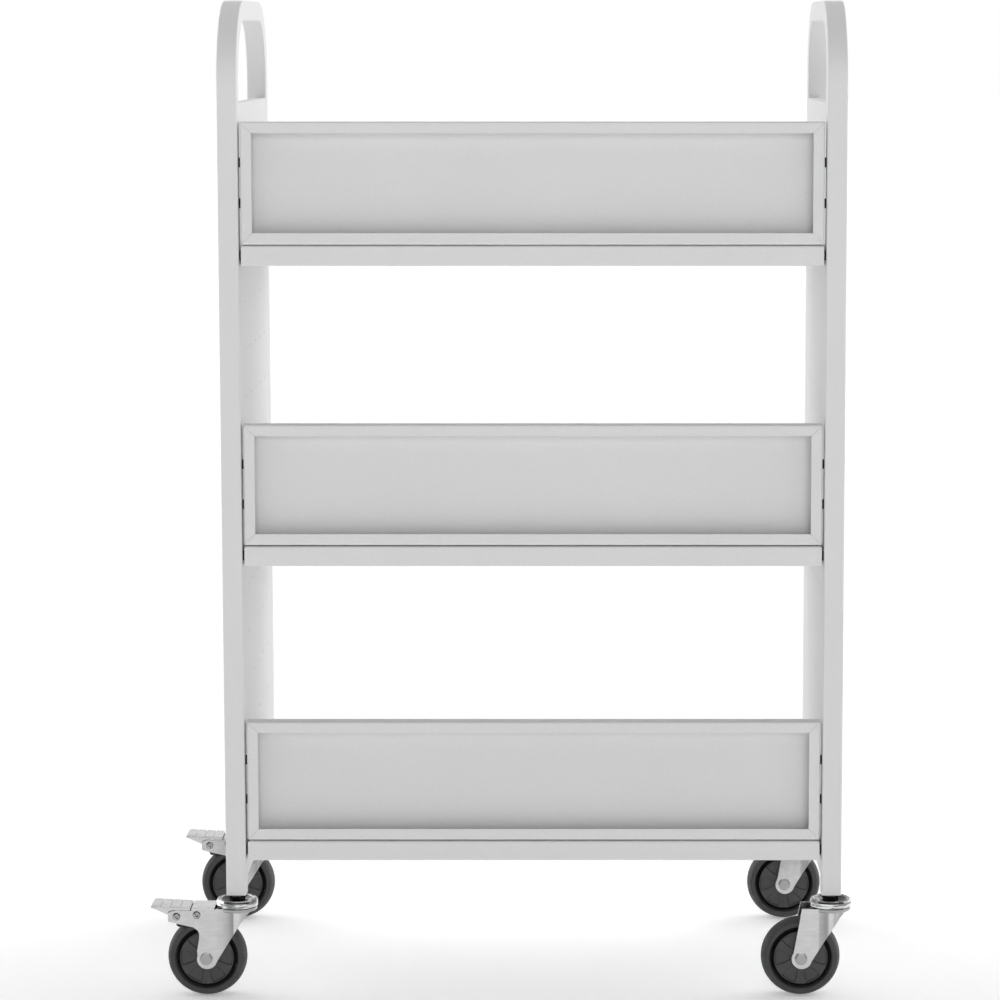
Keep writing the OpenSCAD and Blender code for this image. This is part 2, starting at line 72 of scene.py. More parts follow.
POST_SPACING_X = 750 * MM       # between the swivel axes of the left and right casters
TRAIL = 38 * MM                 # from the swivel axis back to the axle
DISH_R = 20.3 * MM              # inside this radius the upper race is a dish
CUP_R = (23.9 * MM, 25.4 * MM)  # the wall of the fork's cup under the race
CUP_Z = 60 * MM                 # its foot, above the axle

RIBS = 6
RIB_SLOPE = 1.3 * MM            # width of a rib's sloping flank
GROOVE_R = 33.9 * MM            # outside this radius the hub's face is a deep groove
RIVET_HEAD_R = 5 * MM
RIVET_HEAD_H = 2 * MM

MATERIALS = {}


# ---- Mesh building ----

class Shell:
    """A mesh built face by face. Points that coincide become one vertex."""

    def __init__(self):
        self.points, self.faces, self.index = [], [], {}

    def vert(self, point):
        key = tuple(round(c * KEYS_PER_METRE) for c in point)
        if key not in self.index:
            self.index[key] = len(self.points)
            self.points.append(tuple(point))
        return self.index[key]

    def face(self, *points):
        ids = [self.vert(p) for p in points]
        ids = [a for a, b in zip(ids, ids[1:] + ids[:1]) if a != b]
        if len(set(ids)) > 2:
            self.faces.append(ids)

    def strip(self, first, second, closed=True):
        """Quads between two rows of points."""
        count = len(first) if closed else len(first) - 1
        for i in range(count):
            j = (i + 1) % len(first)
            self.face(first[i], first[j], second[j], second[i])

    def mesh(self, name):
        mesh = bpy.data.meshes.new(name)
        mesh.from_pydata(self.points, [], self.faces)
        return tidied(mesh)


def tidied(mesh):
    """Faces turned outwards, and smooth shading with creases at the sharp edges."""
    bm = bmesh.new()
    bm.from_mesh(mesh)
    bmesh.ops.recalc_face_normals(bm, faces=bm.faces)
    bm.to_mesh(mesh)
    bm.free()
    mesh.shade_smooth()
    mesh.set_sharp_from_angle(angle=CREASE)
    return mesh


def arc(cx, cy, r, start, end, steps=5):
    """Points on an arc, its angles in degrees, both ends included."""
    angles = [math.radians(start + (end - start) * i / steps) for i in range(steps + 1)]
    return [(cx + r * math.cos(a), cy + r * math.sin(a)) for a in angles]


def pairs(values):
    return list(zip(values, values[1:]))


def lathe(name, profile, steps):
    """A closed (radius, y) outline turned about the Y axis."""
    shell = Shell()
    rings = []
    for i in range(steps):
        a = 2 * math.pi * i / steps
        rings.append([(r * math.cos(a), y, r * math.sin(a)) for r, y in profile])
    for first, second in zip(rings, rings[1:] + rings[:1]):
        shell.strip(first, second)
    return shell.mesh(name)


def tube_along(shell, path, r, sides=12):
    """A round wire along a smooth path of points, closed at both ends."""
    angles = [2 * math.pi * k / sides for k in range(sides)]
    rings = []
    u = None
    for i, p in enumerate(path):
        ahead = path[min(i + 1, len(path) - 1)] - path[max(i - 1, 0)]
        if u is None:
            u = ahead.orthogonal()
        else:
            u = u - ahead * (u.dot(ahead) / ahead.dot(ahead))
        u.normalize()
        v = ahead.normalized().cross(u)
        rings.append([p + r * (math.cos(a) * u + math.sin(a) * v) for a in angles])
    for first, second in pairs(rings):
        shell.strip(first, second)
    shell.face(*rings[0])
    shell.face(*rings[-1])


def cad_mesh(node, origin=(0, 0, 0)):
    """A copy of a CAD node's mesh about a new origin, its flat faces made whole again."""
    bm = bmesh.new()
    bm.from_mesh(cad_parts[node].data)
    bmesh.ops.translate(bm, verts=bm.verts, vec=-Vector(origin))
    bmesh.ops.remove_doubles(bm, verts=bm.verts, dist=MERGE_DIST)
    bmesh.ops.dissolve_limit(
        bm, angle_limit=math.radians(1), verts=bm.verts, edges=bm.edges)
    mesh = bpy.data.meshes.new(node)
    bm.to_mesh(mesh)
    bm.free()
    return tidied(mesh)


# ---- Pieces ----

def add_piece(name, mesh, body, slot, nodes=(), at=(0, 0, 0), bevel=0.0):
    """A mesh that rides on a CAD body and stands for CAD nodes. Its edges are rounded by bevel."""
    if not mesh.materials:
        mesh.materials.append(MATERIALS[slot])
    obj = bpy.data.objects.new(name, mesh)
    bpy.context.scene.collection.objects.link(obj)
    obj.location = at
    if bevel:
        rounding = obj.modifiers.new("rounding", "BEVEL")
        rounding.width = bevel
        rounding.segments = 3
        rounding.limit_method = "ANGLE"
        rounding.angle_limit = BEVEL_FROM
        rounding.use_clamp_overlap = True
    normals = obj.modifiers.new("normals", "WEIGHTED_NORMAL")
    normals.keep_sharp = True
    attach(obj, body)
    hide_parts(*nodes)
    return obj


def wheel_centre(caster):
    lo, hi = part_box(f"{caster}_tyre")
    return (lo + hi) / 2


def on_casters(part, mesh, link, slot, casters=CASTERS, bevel=0.0):
    """One mesh, drawn about the wheel's centre, on each of the casters."""
    for caster in casters:
        add_piece(f"{part}_{caster}", mesh, f"{caster}_{link}", slot,
                  [f"{caster}_{part}"], wheel_centre(caster), bevel)


def refined_casters(part, link, slot, casters=CASTERS, bevel=0.0, finish=None):
    """The CAD part itself with rounded edges, on each of the casters."""
    mesh = cad_mesh(f"{casters[0]}_{part}", wheel_centre(casters[0]))
    mesh.materials.append(MATERIALS[finish or slot])
    on_casters(part, mesh, link, slot, casters, bevel)


def refined_frame(node, slot, bevel, finish=None):
    """A CAD part of the frame with rounded edges."""
    mesh = cad_mesh(node)
    mesh.materials.append(MATERIALS[finish or slot])
    add_piece(f"{node}_finished", mesh, "cart_frame", slot, [node], bevel=bevel)


def two_finishes(mesh, first, second, is_second):
    """Two materials on a mesh. is_second tells from a face's centre which faces have the second."""
    mesh.materials.append(MATERIALS[first])
    mesh.materials.append(MATERIALS[second])
    for polygon in mesh.polygons:
        if is_second(polygon.center):
            polygon.material_index = 1
    return mesh


# ---- Materials ----

class Nodes:
    """A material's nodes, on a Principled shader with coordinates that ride with the piece."""

    def __init__(self, name, slot, **uniform):
        self.material = bpy.data.materials.new(name)
        self.material.use_nodes = True
        self.tree = self.material.node_tree
        self.shader = self.tree.nodes["Principled BSDF"]
        self.place = self.tree.nodes.new("ShaderNodeTexCoord").outputs["Object"]
        for socket, value in uniform.items():
            self.shader.inputs[socket.replace("_", " ")].default_value = value
        MATERIALS[slot] = self.material

    def link(self, source, target):
        self.tree.links.new(source, target)

    def noise(self, scale, detail=2.0, rough=0.5, stretch=None):
        node = self.tree.nodes.new("ShaderNodeTexNoise")
        node.inputs["Scale"].default_value = scale
        node.inputs["Detail"].default_value = detail
        node.inputs["Roughness"].default_value = rough
        place = self.place
        if stretch:
            mapping = self.tree.nodes.new("ShaderNodeMapping")
            mapping.inputs["Scale"].default_value = stretch
            self.link(self.place, mapping.inputs["Vector"])
            place = mapping.outputs["Vector"]
        self.link(place, node.inputs["Vector"])
        return node.outputs["Fac"]

    def ramp(self, source, low, high, start=0.3, end=0.7):
        """Source's range from start to end mapped to a range of colour."""
        node = self.tree.nodes.new("ShaderNodeValToRGB")
        elements = node.color_ramp.elements
        for element, place, value in ((elements[0], start, low), (elements[1], end, high)):
            element.position = place
            element.color = (*value, 1)
        self.link(source, node.inputs["Fac"])
        return node.outputs["Color"]

    def spread(self, source, low, high):
        """A noise's usual range mapped to a range of numbers."""
        node = self.tree.nodes.new("ShaderNodeMapRange")
        node.inputs["From Min"].default_value = 0.3
        node.inputs["From Max"].default_value = 0.7
        node.inputs["To Min"].default_value = low
        node.inputs["To Max"].default_value = high
        self.link(source, node.inputs["Value"])
        return node.outputs["Result"]

    def along_x(self, start, end, stops):
        """Greys that change along the piece's own X axis."""
        split = self.tree.nodes.new("ShaderNodeSeparateXYZ")
        self.link(self.place, split.inputs["Vector"])
        reach = self.tree.nodes.new("ShaderNodeMapRange")
        reach.inputs["From Min"].default_value = start
        reach.inputs["From Max"].default_value = end
        self.link(split.outputs["X"], reach.inputs["Value"])
        node = self.tree.nodes.new("ShaderNodeValToRGB")
        for place, grey in stops[1:-1]:
            node.color_ramp.elements.new(place).color = (grey, grey, grey, 1)
        for element, (place, grey) in ((0, stops[0]), (-1, stops[-1])):
            node.color_ramp.elements[element].color = (grey, grey, grey, 1)
        self.link(reach.outputs["Result"], node.inputs["Fac"])
        return node.outputs["Color"]

    def mix(self, first, second, share, how="MIX"):
        node = self.tree.nodes.new("ShaderNodeMix")
        node.data_type = "RGBA"
        node.blend_type = how
        node.inputs["Factor"].default_value = share
        self.link(first, node.inputs["A"])
        self.link(second, node.inputs["B"])
        return node.outputs["Result"]

    def bump(self, height, distance, strength=1.0, under=None):
        node = self.tree.nodes.new("ShaderNodeBump")
        node.inputs["Distance"].default_value = distance
        node.inputs["Strength"].default_value = strength
        self.link(height, node.inputs["Height"])
        if under:
            self.link(under, node.inputs["Normal"])
        return node.outputs["Normal"]

    def colour(self, source):
        self.link(source, self.shader.inputs["Base Color"])

    def roughness(self, source):
        self.link(source, self.shader.inputs["Roughness"])

    def normal(self, source):
        self.link(source, self.shader.inputs["Normal"])


def powder_coat():
    """Light grey-white paint baked on: a fine pebbled skin, faintly uneven in tone."""
    m = Nodes("powder_coat", "powder_coat", Specular_IOR_Level=0.45)
    cloud = m.ramp(m.noise(5, 3), (0.735, 0.74, 0.738), (0.77, 0.774, 0.77))
    grain = m.ramp(m.noise(900, 2), (0.70, 0.704, 0.70), (0.80, 0.805, 0.80))
    m.colour(m.mix(cloud, grain, 0.45))
    m.roughness(m.spread(m.noise(160, 3), 0.42, 0.56))
    skin = m.bump(m.noise(620, 2), 0.00012)
    m.normal(m.bump(m.noise(14, 2), 0.0006, 0.35, skin))


def zinc(name, shade=None, tone=1.0, rough=(0.13, 0.26)):
    """Bright zinc over pressed steel: soft clouds, fine drawing lines and small pits."""
    m = Nodes(name, name, Metallic=1.0)
    # a tone below one makes a darker copy of the plate: painted shade and dark reflection
    greys = [(tone * grey, tone * grey, tone * grey) for grey in (0.57, 0.67, 0.55, 0.71)]
    cloud = m.ramp(m.noise(55, 4), greys[0], greys[1])
    lines = m.ramp(m.noise(420, 3, stretch=(0.12, 1, 1)), greys[2], greys[3])
    plate = m.mix(cloud, lines, 0.4)
    # shade multiplies in greys along X: painted shade and highlight bands
    m.colour(m.mix(plate, m.along_x(*shade), 1.0, "MULTIPLY") if shade else plate)
    m.roughness(m.spread(m.noise(150, 4, 0.6), *rough))
    grain = m.bump(m.noise(900, 3), 0.000012)
    m.normal(m.bump(m.noise(300, 2, stretch=(0.1, 1, 1)), 0.000015, 0.6, grain))


def zinc_plate():
    """The plain plated finish."""
    zinc("zinc_plate")


def banded_reflection_zinc():
    """Zinc plating with painted reflections: dark and bright bands run round the race and its rim.
    """
    m = Nodes("banded_reflection_zinc", "banded_reflection_zinc", Metallic=1.0)
    # painted reflection: the bands stand for dark and bright surroundings mirrored in the race
    bands = m.ramp(m.noise(52, 2, stretch=(1, 1, 6)), (0.13, 0.132, 0.135), (0.86, 0.865, 0.87),
                   0.43, 0.56)
    lines = m.ramp(m.noise(420, 3, stretch=(1, 1, 4)), (0.40, 0.40, 0.41), (0.66, 0.665, 0.67))
    m.colour(m.mix(bands, lines, 0.3))
    m.roughness(m.spread(m.noise(150, 4, 0.6), 0.07, 0.16))
    m.normal(m.bump(m.noise(900, 3), 0.000012))


def dark_reflection_zinc():
    """Plating painted dark as shade and dark reflection, in the race's dish and on the stem."""
    zinc("dark_reflection_zinc", tone=0.17, rough=(0.08, 0.22))


def shaded_copy_zinc():
    """A shaded copy of the plate on the small turned parts and the fork's cup: painted darker as
    their darker reflections.
    """
    zinc("shaded_copy_zinc", tone=0.62, rough=(0.1, 0.2))


def plain_fork_shade_zinc():
    """The plain fork's plate: a wide painted shade band at the nose's fold, then painted highlight
    and shade bands past it.
    """
    zinc("plain_fork_shade_zinc", (-60 * MM, 60 * MM, (
        (0.0, 0.93), (0.68, 0.93), (0.695, 0.66), (0.73, 0.58), (0.765, 0.50), (0.785, 0.72),
        (0.795, 1.0), (0.825, 1.0), (0.85, 0.74), (0.87, 0.82), (0.92, 0.64), (1.0, 0.8))))


def braked_fork_shade_zinc():
    """The braked fork's wider plate: painted shade darkens it softly towards a fold further forward,
    then a painted highlight band.
    """
    zinc("braked_fork_shade_zinc", (-60 * MM, 60 * MM, (
        (0.0, 0.93), (0.60, 0.93), (0.68, 0.84), (0.73, 0.70), (0.77, 0.52), (0.787, 0.46),
        (0.797, 1.0), (0.84, 1.0), (0.88, 0.8), (0.94, 0.7), (1.0, 0.85))))


def tyre_rubber():
    """Dark grey rubber, dull, with a dusty bloom and a fine moulded grain."""
    m = Nodes("tyre_rubber", "tyre_rubber", Specular_IOR_Level=0.35)
    bloom = m.ramp(m.noise(60, 4), (0.046, 0.046, 0.048), (0.072, 0.072, 0.073))
    specks = m.ramp(m.noise(700, 3), (0.042, 0.042, 0.044), (0.08, 0.08, 0.08))
    m.colour(m.mix(bloom, specks, 0.4))
    m.roughness(m.spread(m.noise(120, 3), 0.58, 0.78))
    m.normal(m.bump(m.noise(800, 3), 0.00008))


def hub_plastic():
    """Dark grey moulded plastic with a satin spark-eroded skin."""
    m = Nodes("hub_plastic", "hub_plastic", Specular_IOR_Level=0.4)
    flow = m.ramp(m.noise(40, 3), (0.048, 0.048, 0.05), (0.06, 0.06, 0.062))
    grain = m.ramp(m.noise(900, 2), (0.044, 0.044, 0.046), (0.066, 0.066, 0.067))
    m.colour(m.mix(flow, grain, 0.4))
    m.roughness(m.spread(m.noise(200, 3), 0.44, 0.6))
    m.normal(m.bump(m.noise(1000, 2), 0.00005))


def black_nylon():
    """Black moulded nylon, faintly mottled."""
    m = Nodes("black_nylon", "black_nylon", Specular_IOR_Level=0.35)
    m.colour(m.ramp(m.noise(120, 3), (0.012, 0.012, 0.013), (0.024, 0.024, 0.025)))
    m.roughness(m.spread(m.noise(220, 3), 0.5, 0.68))
    m.normal(m.bump(m.noise(900, 2), 0.00006))


def groove_shade_plastic():
    """The hub's plastic at the bottom of its deep groove, painted near black as the groove's shade.
    """
    m = Nodes("groove_shade_plastic", "groove_shade_plastic", Specular_IOR_Level=0.1)
    m.colour(m.ramp(m.noise(120, 3), (0.003, 0.003, 0.003), (0.008, 0.008, 0.008)))
    m.roughness(m.spread(m.noise(220, 3), 0.6, 0.8))
    m.normal(m.bump(m.noise(900, 2), 0.00006))


def acetal():
    """Natural off-white bearing plastic."""
    m = Nodes("acetal", "acetal", Specular_IOR_Level=0.5)
    m.colour(m.ramp(m.noise(90, 3), (0.77, 0.75, 0.68), (0.84, 0.82, 0.76)))
    m.roughness(m.spread(m.noise(200, 2), 0.3, 0.42))
    m.normal(m.bump(m.noise(700, 2), 0.00003))


for make in (powder_coat, zinc_plate, banded_reflection_zinc, dark_reflection_zinc, shaded_copy_zinc, plain_fork_shade_zinc,
             braked_fork_shade_zinc, tyre_rubber, hub_plastic, groove_shade_plastic, black_nylon, acetal):
    make()


# ---- End frames ----

def rounded_square(side, r):
    half = side / 2 - r
    points = []
    for turn, sx, sy in ((0, 1, 1), (90, -1, 1), (180, -1, -1), (270, 1, -1)):
        points += arc(sx * half, sy * half, r, turn, turn + 90, 5)
    return points


def arch_path(post_y, bend_z, foot_z, axis_r, steps=28):
    """(y, z, outward y, outward z) along the tube's centre line from one foot to the other."""
    path = [(-post_y, foot_z, -1.0, 0.0)]
    for cy, start in ((axis_r - post_y, 180), (post_y - axis_r, 90)):
        for dy, dz in arc(0, 0, 1, start, start - 90, steps):
            path.append((cy + axis_r * dy, bend_z + axis_r * dz, dy, dz))
    path.append((post_y, foot_z, 1.0, 0.0))
    return path


def arch_tube(side):
    """The posts, bends and push handle: one hollow square tube swept along its path."""
    lo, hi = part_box(f"{side}_arch_tube")
    tube = hi.x - lo.x
    x = (lo.x + hi.x) / 2
    path = arch_path(hi.y - tube / 2, hi.z - TUBE_BEND_R, lo.z, TUBE_BEND_R - tube / 2)
    shell = Shell()
    skins = [rounded_square(tube, TUBE_CORNER_R),
             rounded_square(tube - 2 * SHEET, TUBE_CORNER_R - SHEET)]
    rows = [[[(x + b, y + a * ny, z + a * nz) for a, b in skin] for y, z, ny, nz in path]
            for skin in skins]
    for row in rows:
        for first, second in pairs(row):
            shell.strip(first, second)
    for end in (0, -1):
        shell.strip(rows[0][end], rows[1][end])
    add_piece(f"arch_{side}", shell.mesh(f"arch_{side}"), "cart_frame", "powder_coat",
              [f"{side}_arch_tube"])


# ---- Folded sheet ----

def fold_profile(depth, lip):
    """A folded edge as (inset, depth), from the deck's face round the bends to its back."""
    r, t = BEND_R, SHEET
    points = arc(r, r, r, -90, -180)
    if lip:
        points += arc(r, depth - r, r, 180, 90)
        points += [(lip, depth), (lip, depth - t)]
        points += arc(r, depth - r, r - t, 90, 180)
    else:
        points += [(0, depth), (t, depth)]
    return points + arc(r, r, r - t, 180, 270)


def fold_edge(shell, size, axis, sign, profile, place, cuts):
    """One folded edge of a pan, its ends cut on the mitre with a fine seam between neighbours.
    It is divided at cuts, where the deck's grid meets it."""
    last = len(profile) - 1

    def point(k, side):
        inset, depth = profile[k]
        out = sign * (size[axis] / 2 - inset)
        return place(*((out, side) if axis == 0 else (side, out)), depth)

    def mitre(end):
        reach = [size[1 - axis] / 2 - profile[k][0] - (0 if k in (0, last) else SEAM)
                 for k in range(last + 1)]
        return [point(k, end * reach[k]) for k in range(last + 1)]

    between = [[point(k, cut) for k in range(last + 1)] for cut in cuts]
    rows = [mitre(-1), *between, mitre(1)]
    for first, second in pairs(rows):
        shell.strip(first, second, closed=False)
    shell.face(*rows[0])
    shell.face(*rows[-1])


def pan(name, size, profiles, place, holes=None):
    """A sheet folded along all four edges. place turns (u, v, depth) into the cart's frame."""
    shell = Shell()
    half = [s / 2 - BEND_R for s in size]
    lines = deck_lines(half, *holes) if holes else ([], [])
    for axis in (0, 1):
        for sign in (-1, 1):
            fold_edge(shell, size, axis, sign, profiles[axis], place, lines[1 - axis][1:-1])
    if holes:
        perforated_deck(shell, lines, holes[-1], place)
        return shell.mesh(name)
    for depth in (0, SHEET):
        corners = ((-1, -1), (1, -1), (1, 1), (-1, 1))
        shell.face(*[place(a * half[0], b * half[1], depth) for a, b in corners])
    return shell.mesh(name)


def deck_lines(half, columns, rows, r):
    """Grid lines across a deck: every second strip between them holds a row of holes."""
    cell = 3.2 * r
    return [[-reach] + [c + s * cell for c in centres for s in (-1, 1)] + [reach]
            for reach, centres in zip(half, (columns, rows))]


def perforated_deck(shell, lines, r, place):
    """The deck between the folds, a plain or a punched cell for each square of the grid."""
    for i, (u0, u1) in enumerate(pairs(lines[0])):
        for j, (v0, v1) in enumerate(pairs(lines[1])):
            corners = [(u1, v1), (u0, v1), (u0, v0), (u1, v0)]
            if i % 2 and j % 2:
                punched_cell(shell, corners, r, place)
                continue
            for depth in (0, SHEET):
                shell.face(*[place(*c, depth) for c in corners])


def punched_cell(shell, corners, r, place, steps=24):
    """A square of sheet with a round hole whose rims are softened by the paint."""
    u, v = [(corners[0][k] + corners[2][k]) / 2 for k in (0, 1)]
    soft = 0.3 * MM
    rims = ((r + soft, 0), (r, soft), (r, SHEET - soft), (r + soft, SHEET))
    circle = arc(0, 0, 1, 45, 405, steps)[:-1]
    rings = [[place(u + q * cu, v + q * cv, depth) for cu, cv in circle] for q, depth in rims]
    for first, second in pairs(rings):
        shell.strip(first, second)
    quarter = steps // 4
    for k in range(4):
        side = [corners[k], corners[(k + 1) % 4]]
        ids = [(k * quarter + n) % steps for n in range(quarter, -1, -1)]
        for ring, depth in ((rings[0], 0), (rings[-1], SHEET)):
            shell.face(*[place(*c, depth) for c in side], *[ring[n] for n in ids])


def side_panel(side):
    """The perforated sheet welded between a pair of posts, its edges folded outwards."""
    lo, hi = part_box(f"{side}_side_panel")
    out = -1 if side == "left" else 1
    face_x = hi.x if side == "left" else lo.x
    z = (lo.z + hi.z) / 2
    rows = [FIRST_HOLE_Z + HOLE_PITCH * j - z for j in range(HOLE_ROWS)]
    columns = [HOLE_PITCH * (i - HOLE_COLUMNS // 2) for i in range(HOLE_COLUMNS)]
    profile = fold_profile(hi.x - lo.x, 0)
    mesh = pan(f"side_{side}", (hi.y - lo.y, hi.z - lo.z), (profile, profile),
               lambda u, v, d: (face_x + out * d, u, z + v), (columns, rows, HOLE_R))
    add_piece(f"side_{side}", mesh, "cart_frame", "powder_coat", [f"{side}_side_panel"])


def shelf(level):
    """A flat tray upside down, with a lip under each long edge."""
    lo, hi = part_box(f"{level}_shelf")
    x, y = (lo.x + hi.x) / 2, (lo.y + hi.y) / 2
    depth = hi.z - lo.z
    profiles = (fold_profile(depth, 0), fold_profile(depth, SHELF_LIP))
    mesh = pan(f"shelf_{level}", (hi.x - lo.x, hi.y - lo.y), profiles,
               lambda u, v, d: (x + u, y + v, hi.z - d))
    add_piece(f"shelf_{level}", mesh, "cart_frame", "powder_coat", [f"{level}_shelf"])


def back_panel(level):
    """A folded pan on edge: smooth towards the books, hollow with mitred lips behind."""
    lo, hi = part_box(f"{level}_back_panel")
    x, z = (lo.x + hi.x) / 2, (lo.z + hi.z) / 2
    profile = fold_profile(hi.y - lo.y, BACK_LIP)
    mesh = pan(f"back_{level}", (hi.x - lo.x, hi.z - lo.z), (profile, profile),
               lambda u, v, d: (x + u, hi.y - d, z + v))
    add_piece(f"back_{level}", mesh, "cart_frame", "powder_coat", [f"{level}_back_panel"])


for side_name in SIDES:
    arch_tube(side_name)
    side_panel(side_name)
for level_name in LEVELS:
    shelf(level_name)
    back_panel(level_name)


# ---- Bolts, sockets, stems and races ----

def upper_races():
    """The races in plating with painted reflection bands, their dishes painted dark as shade and
    dark reflection.
    """
    lo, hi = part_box("upper_races")
    r = (hi.x - lo.x - POST_SPACING_X) / 2
    axes = [(x, y) for x in (lo.x + r, hi.x - r) for y in (lo.y + r, hi.y - r)]

    def in_dish(c):
        return min(math.hypot(c.x - x, c.y - y) for x, y in axes) < DISH_R

    # the dish faces get the painted dark reflection and shade, the rest the painted reflection bands
    mesh = two_finishes(cad_mesh("upper_races"), "banded_reflection_zinc", "dark_reflection_zinc", in_dish)
    add_piece("upper_races_finished", mesh, "cart_frame", "zinc_plate", ["upper_races"],
              bevel=0.35 * MM)


refined_frame("frame_bolts", "zinc_plate", 0.35 * MM)
refined_frame("end_spacers", "black_nylon", 0.25 * MM)
refined_frame("bolt_inserts", "zinc_plate", 0.3 * MM)
refined_frame("stem_sockets", "black_nylon", 0.4 * MM)
# the stem is painted dark as dark reflection
refined_frame("caster_stems", "zinc_plate", 0.4 * MM, "dark_reflection_zinc")
upper_races()
refined_frame("stem_washers", "zinc_plate", 0.3 * MM)


# ---- Wheels ----

def tyre_mesh():
    """Rounded tread with a fine parting line at its crown, fillets, and a flat side wall."""
    lo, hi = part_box("rear_left_tyre")
    half = (hi.y - lo.y) / 2
    top = (hi.z - lo.z) / 2
    crown = 25 * MM

    def tread(y):
        return top - crown + math.sqrt(crown * crown - y * y)

    edge = half - 1.6 * MM
    right = [(tread(edge * (1 - k / 14)), edge * (1 - k / 14)) for k in range(14)]
    seam = 0.35 * MM
    ridge = [(tread(2 * seam), 2 * seam), (top, seam), (top, -seam), (tread(2 * seam), -2 * seam)]
    wall_r = tread(edge) - 2.0 * MM
    wall = [(39.2 * MM, half - 2.4 * MM), (39.6 * MM, half - 1.0 * MM), (40.4 * MM, half - 0.3 * MM),
            (41.4 * MM, half), (wall_r, half), (wall_r + 1.1 * MM, half - 0.35 * MM)]
    bore = [(38.05 * MM, 6.8 * MM), (38.4 * MM, 8.2 * MM)]
    upper = bore + wall + right
    lower = [(r, -y) for r, y in reversed(upper)]
    return lathe("tyre", upper + ridge + lower, 144)


def rib_half_width(r):
    """Half the width of a hub's rib at a radius: it flares towards both ends."""
    outer = max(0.0, (r - 17 * MM) / (14 * MM))
    inner = max(0.0, (17 * MM - r) / (5 * MM))
    return (3.8 + 2.6 * outer ** 2 + 1.5 * inner ** 2) * MM


def hub_columns(r):
    """(angle, share of the rib's height) round the hub at a radius, following the ribs' edges."""
    columns = []
    for k in range(RIBS):
        middle = math.pi / 2 + 2 * math.pi * k / RIBS
        top = rib_half_width(r) / r
        foot = top + RIB_SLOPE / r
        gap = math.pi / RIBS
        steps = [(-top, 1), (-top / 3, 1), (top / 3, 1), (top, 1)]
        flank = ((0.2, 0.93), (0.5, 0.5), (0.8, 0.07), (1, 0))
        down = [(top + (foot - top) * s, h) for s, h in flank]
        floor = [(foot + (gap - foot) * s, 0) for s in (0.33, 0.67, 1)]
        up = [(-a, h) for a, h in reversed(down)]
        left = [(-a, h) for a, h in reversed(floor[:-1])]
        columns += [(middle + a, h) for a, h in left + up + steps + down + floor]
    return columns


def hub_mesh():
    """A moulded hub: six flared ribs on each face, shallow pockets between, and a deep groove."""
    face, floor = 13.5 * MM, 12.0 * MM
    shell = Shell()

    def ring(r, base, rise, sign):
        return [(r * math.cos(a), sign * (base + rise * h), r * math.sin(a))
                for a, h in hub_columns(r)]

    def flat(r, y, sign):
        return ring(r, y, 0, sign)

    for sign in (-1, 1):
        rings = [flat(8.0 * MM, 6 * MM, sign), flat(8.0 * MM, 15.9 * MM, sign),
                 flat(8.3 * MM, 16.2 * MM, sign), flat(11.4 * MM, 16.2 * MM, sign),
                 flat(12.0 * MM, 15.7 * MM, sign), flat(12.2 * MM, 13.6 * MM, sign),
                 ring(12.9 * MM, face, 0, sign)]
        rings += [ring(r * MM, floor, face - floor, sign)
                  for r in (14.2, 16, 18, 20, 22, 24, 26, 28, 30)]
        rings += [ring(31.6 * MM, floor, face - floor, sign), flat(32.8 * MM, face, sign),
                  flat(33.5 * MM, face - 0.1 * MM, sign), flat(34.0 * MM, face - 0.6 * MM, sign),
                  flat(34.2 * MM, 7.6 * MM, sign), flat(34.8 * MM, 7.0 * MM, sign),
                  flat(37.9 * MM, 7.0 * MM, sign), flat(38.0 * MM, 6.8 * MM, sign)]
        for first, second in pairs(rings):
            shell.strip(first, second)
    for r in (8.0 * MM, 38.0 * MM):
        y = 6 * MM if r < 10 * MM else 6.8 * MM
        shell.strip(flat(r, y, -1), flat(r, y, 1))
    return shell.mesh("hub")


on_casters("tyre", tyre_mesh(), "wheel", "tyre_rubber")
# the faces in the deep groove get the painted shade
on_casters("hub", two_finishes(hub_mesh(), "hub_plastic", "groove_shade_plastic",
                               lambda c: math.hypot(c.x, c.z) > GROOVE_R), "wheel", "hub_plastic")
refined_casters("bush", "wheel", "acetal", bevel=0.3 * MM)


# ---- Forks and brakes ----

def rivet_profile(half, head):
    """Half a hollow rivet's outline as (radius, y), from its dimpled head inwards."""
    return [(0.05 * MM, half + 0.9 * MM), (1.3 * MM, half + 0.9 * MM), (1.9 * MM, half + 1.5 * MM),
            (2.6 * MM, half + 1.95 * MM), (3.4 * MM, half + 1.9 * MM), (4.3 * MM, half + 1.3 * MM),
            (head, half + 0.45 * MM), (head, half), (3.0 * MM, half)]


def rivet_axes(caster):
    """(x, z) of the two rivets from the wheel's centre: the outer and lower one, then the other."""
    lo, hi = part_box(f"{caster}_brake_rivets")
    centre = wheel_centre(caster)
    return ((lo.x + RIVET_HEAD_R - centre.x, lo.z + RIVET_HEAD_R - centre.z),
            (hi.x - RIVET_HEAD_R - centre.x, hi.z - RIVET_HEAD_R - centre.z))


def rivets_mesh(caster, steps=32):
    """Two hollow rivets with dimpled heads, through both arms of the fork."""
    lo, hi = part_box(f"{caster}_brake_rivets")
    half = (hi.y - lo.y) / 2 - RIVET_HEAD_H
    upper = rivet_profile(half, RIVET_HEAD_R - 0.05 * MM)
    outline = upper + [(r, -y) for r, y in reversed(upper)]
    shell = Shell()
    for x, z in rivet_axes(caster):
        rings = []
        for i in range(steps):
            a = 2 * math.pi * i / steps
            rings.append([(x + r * math.cos(a), y, z + r * math.sin(a)) for r, y in outline])
        for first, second in zip(rings, rings[1:] + rings[:1]):
            shell.strip(first, second, closed=False)
        for end in (0, -1):
            shell.face(*[ring[end] for ring in rings])
    mesh = shell.mesh("rivets")
    # the rivets get the shaded copy of the plate: painted darker reflection
    mesh.materials.append(MATERIALS["shaded_copy_zinc"])
    return mesh


